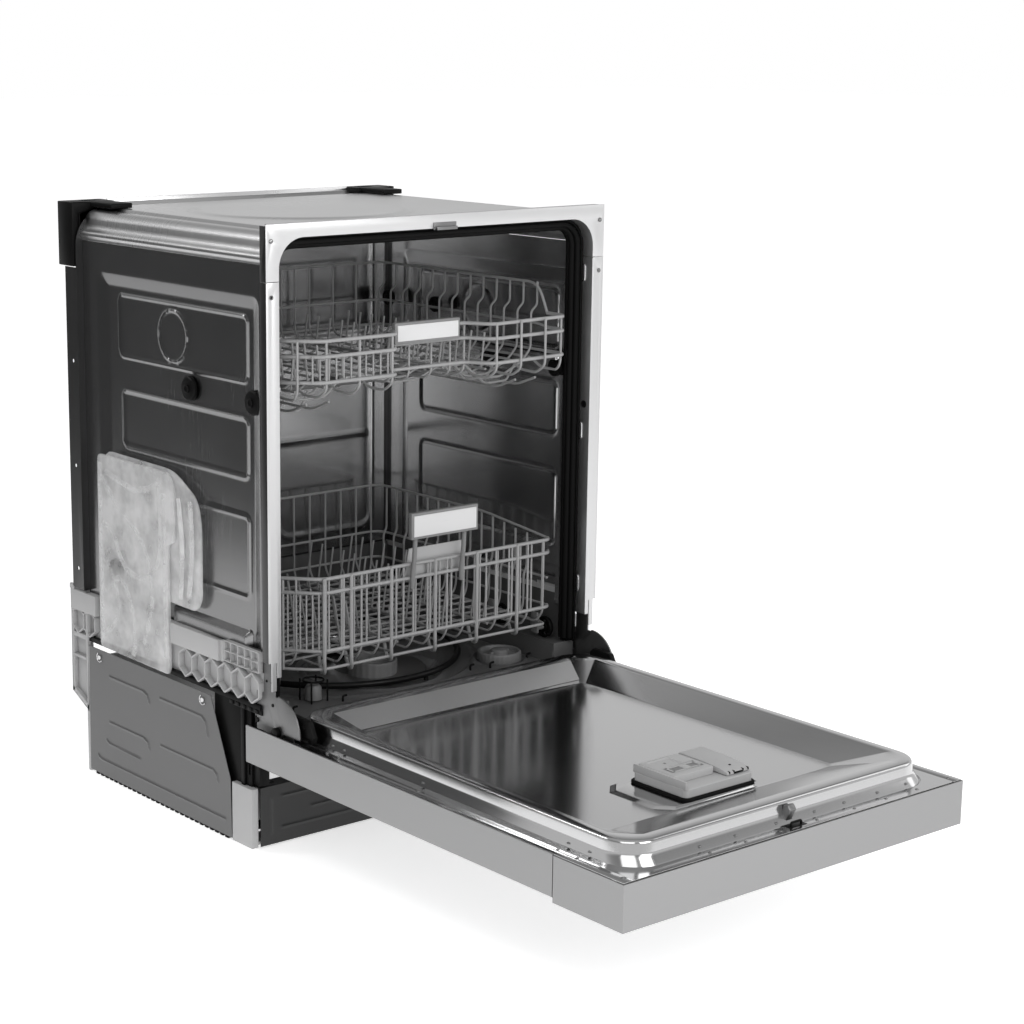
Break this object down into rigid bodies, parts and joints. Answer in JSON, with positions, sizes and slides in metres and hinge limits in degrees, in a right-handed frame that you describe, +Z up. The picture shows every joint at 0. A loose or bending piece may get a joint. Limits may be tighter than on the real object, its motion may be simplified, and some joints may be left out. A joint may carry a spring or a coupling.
{
  "type": "built-in dishwasher",
  "caption": "Built-in dishwasher with a drop-down door, pull-out wire racks and spray arms, in a steel tub on a plastic base.",
  "frame": {"origin": "middle of the cabinet's footprint, on the floor", "axes": "+X to the user's right facing the door, +Y towards the back wall, +Z up; the door opens towards -Y"},
  "size_m": [0.598, 1.219, 0.867],
  "materials": {
    "tub_steel": "satin pressed stainless sheet",
    "flange_steel": "bright brushed stainless",
    "door_steel": "brushed stainless",
    "liner_steel": "bright annealed stainless",
    "black_rubber": "matt rubber",
    "black_plastic": "black moulded plastic",
    "base_plastic": "light grey moulded plastic",
    "basin_plastic": "dark grey moulded plastic",
    "cap_plastic": "grey moulded plastic",
    "light_plastic": "light grey moulded plastic",
    "plate_steel": "grey coated steel",
    "kick_steel": "black painted steel",
    "zinc_steel": "zinc plated steel",
    "element_black": "black oxide sheath",
    "mesh_steel": "fine perforated stainless",
    "arm_steel": "polished stainless",
    "tank_plastic": "translucent moulded plastic",
    "rack_coating": "grey nylon coating on wire",
    "handle_plate": "plain satin plate",
    "wheel_plastic": "dark moulded plastic",
    "spring_steel": "spring steel"
  },
  "bodies": {
    "cabinet": {"flange_top": "flange_steel", "flange_left": "flange_steel", "flange_right": "flange_steel", "tub_top": "tub_steel", "tub_side_left": "tub_steel", "tub_side_right": "tub_steel", "tub_back": "tub_steel", "tub_floor": "basin_plastic", "mouth_gasket": "black_rubber", "rear_top_rail": "flange_steel", "corner_bracket_left": "black_plastic", "corner_bracket_right": "black_plastic", "base_frame": "base_plastic", "side_plate_left": "plate_steel", "side_plate_right": "plate_steel", "kick_plate": "kick_steel", "hinge_plate_left": "zinc_steel", "hinge_plate_right": "zinc_steel", "hinge_pins": "black_plastic", "door_strike": "zinc_steel", "heating_element": "element_black", "filter_plate": "mesh_steel", "sump": "basin_plastic", "wash_pump": "black_plastic", "drain_pump": "black_plastic", "inlet_valve": "black_plastic", "water_softener": "light_plastic", "air_break_tank": "tank_plastic", "feed_pipe": "black_plastic", "door_springs": "spring_steel"},
    "float": {"float": "cap_plastic"},
    "filter_cup": {"filter_cup": "cap_plastic"},
    "salt_cap": {"salt_cap": "cap_plastic"},
    "foot_front_left": {"foot_front_left": "black_plastic"},
    "foot_front_right": {"foot_front_right": "black_plastic"},
    "rear_feet": {"rear_feet": "black_plastic"},
    "wall_rollers_front": {"wall_rollers_front": "wheel_plastic"},
    "wall_rollers_rear": {"wall_rollers_rear": "wheel_plastic"},
    "lower_spray_arm": {"lower_spray_arm": "arm_steel"},
    "upper_spray_arm": {"upper_spray_arm": "cap_plastic"},
    "door": {"outer_panel": "door_steel", "control_panel": "door_steel", "inner_liner": "liner_steel", "hinge_arms": "zinc_steel", "dispenser_body": "light_plastic"},
    "detergent_lid": {"detergent_lid": "light_plastic"},
    "rinse_lid": {"rinse_lid": "light_plastic"},
    "door_latch": {"door_latch": "zinc_steel"},
    "power_button": {"power_button": "black_plastic"},
    "start_button": {"start_button": "black_plastic"},
    "lower_rack": {"lower_basket": "rack_coating", "lower_handle": "handle_plate"},
    "lower_tines": {"lower_tines": "rack_coating"},
    "upper_rack": {"upper_basket": "rack_coating", "upper_handle": "handle_plate"},
    "lower_wheels_1": {"lower_wheels_1": "wheel_plastic"},
    "lower_wheels_2": {"lower_wheels_2": "wheel_plastic"},
    "lower_wheels_3": {"lower_wheels_3": "wheel_plastic"},
    "lower_wheels_4": {"lower_wheels_4": "wheel_plastic"}
  },
  "joints": [
    {"name": "door_hinge", "type": "hinge", "parent": "cabinet", "child": "door", "pos_m": [0, -0.272, 0.184], "axis": [-1, 0, 0], "range_deg": [0, 90]},
    {"name": "lower_rack_slide", "type": "slide", "parent": "cabinet", "child": "lower_rack", "axis": [0, 1, 0], "range_m": [-0.44, 0]},
    {"name": "upper_rack_slide", "type": "slide", "parent": "cabinet", "child": "upper_rack", "axis": [0, 1, 0], "range_m": [-0.44, 0]},
    {"name": "lower_arm_spin", "type": "hinge", "parent": "cabinet", "child": "lower_spray_arm", "pos_m": [0, -0.002, 0.2], "axis": [0, 0, 1], "continuous": true},
    {"name": "upper_arm_spin", "type": "hinge", "parent": "upper_rack", "child": "upper_spray_arm", "pos_m": [0, -0.002, 0.602], "axis": [0, 0, 1], "continuous": true},
    {"name": "lower_wheels_1_spin", "type": "hinge", "parent": "lower_rack", "child": "lower_wheels_1", "pos_m": [0, -0.198, 0.2278], "axis": [1, 0, 0], "range_deg": [-5, 1533]},
    {"name": "lower_wheels_2_spin", "type": "hinge", "parent": "lower_rack", "child": "lower_wheels_2", "pos_m": [0, -0.096, 0.2278], "axis": [1, 0, 0], "range_deg": [-5, 1533]},
    {"name": "lower_wheels_3_spin", "type": "hinge", "parent": "lower_rack", "child": "lower_wheels_3", "pos_m": [0, 0.069, 0.2278], "axis": [1, 0, 0], "range_deg": [-5, 1533]},
    {"name": "lower_wheels_4_spin", "type": "hinge", "parent": "lower_rack", "child": "lower_wheels_4", "pos_m": [0, 0.171, 0.2278], "axis": [1, 0, 0], "range_deg": [-5, 1533]},
    {"name": "wall_rollers_front_spin", "type": "hinge", "parent": "cabinet", "child": "wall_rollers_front", "pos_m": [0, -0.2104, 0.626], "axis": [1, 0, 0], "range_deg": [-5, 1945]},
    {"name": "wall_rollers_rear_spin", "type": "hinge", "parent": "cabinet", "child": "wall_rollers_rear", "pos_m": [0, -0.0554, 0.626], "axis": [1, 0, 0], "range_deg": [-5, 1945]},
    {"name": "lower_tines_fold", "type": "hinge", "parent": "lower_rack", "child": "lower_tines", "pos_m": [-0.095, -0.266, 0.249], "axis": [0, 1, 0], "range_deg": [0, 80]},
    {"name": "detergent_lid_slide", "type": "slide", "parent": "door", "child": "detergent_lid", "axis": [0, 1, 0], "range_m": [0, 0.06]},
    {"name": "rinse_lid_flip", "type": "hinge", "parent": "door", "child": "rinse_lid", "pos_m": [0.0595, -0.764, 0.2036], "axis": [0, -1, 0], "range_deg": [-100, 0]},
    {"name": "door_latch_rock", "type": "hinge", "parent": "door", "child": "door_latch", "pos_m": [0, -0.925, 0.17], "axis": [1, 0, 0], "range_deg": [0, 12], "stiffness_Nm_per_rad": 0.05},
    {"name": "power_button_press", "type": "slide", "parent": "door", "child": "power_button", "axis": [0, 0, 1], "range_m": [0, 0.002], "stiffness_N_per_m": 400},
    {"name": "start_button_press", "type": "slide", "parent": "door", "child": "start_button", "axis": [0, 0, 1], "range_m": [0, 0.002], "stiffness_N_per_m": 400},
    {"name": "float_rise", "type": "slide", "parent": "cabinet", "child": "float", "axis": [0, 0, 1], "range_m": [0, 0.006]},
    {"name": "filter_cup_lift", "type": "slide", "parent": "cabinet", "child": "filter_cup", "axis": [0, 0, 1], "range_m": [0, 0.03]},
    {"name": "salt_cap_turn", "type": "hinge", "parent": "cabinet", "child": "salt_cap", "pos_m": [0.19, -0.174, 0.19], "axis": [0, 0, 1], "continuous": true},
    {"name": "foot_front_left_height", "type": "slide", "parent": "cabinet", "child": "foot_front_left", "axis": [0, 0, 1], "range_m": [-0.03, 0]},
    {"name": "foot_front_right_height", "type": "slide", "parent": "cabinet", "child": "foot_front_right", "axis": [0, 0, 1], "range_m": [-0.03, 0]},
    {"name": "rear_feet_height", "type": "slide", "parent": "cabinet", "child": "rear_feet", "axis": [0, 0, 1], "range_m": [-0.03, 0]}
  ],
  "couplings": [
    {"joint": "lower_wheels_1_spin", "follows": "lower_rack_slide", "rad_per_m": -60.606},
    {"joint": "lower_wheels_2_spin", "follows": "lower_rack_slide", "rad_per_m": -60.606},
    {"joint": "lower_wheels_3_spin", "follows": "lower_rack_slide", "rad_per_m": -60.606},
    {"joint": "lower_wheels_4_spin", "follows": "lower_rack_slide", "rad_per_m": -60.606},
    {"joint": "wall_rollers_front_spin", "follows": "upper_rack_slide", "rad_per_m": -76.923},
    {"joint": "wall_rollers_rear_spin", "follows": "upper_rack_slide", "rad_per_m": -76.923}
  ]
}
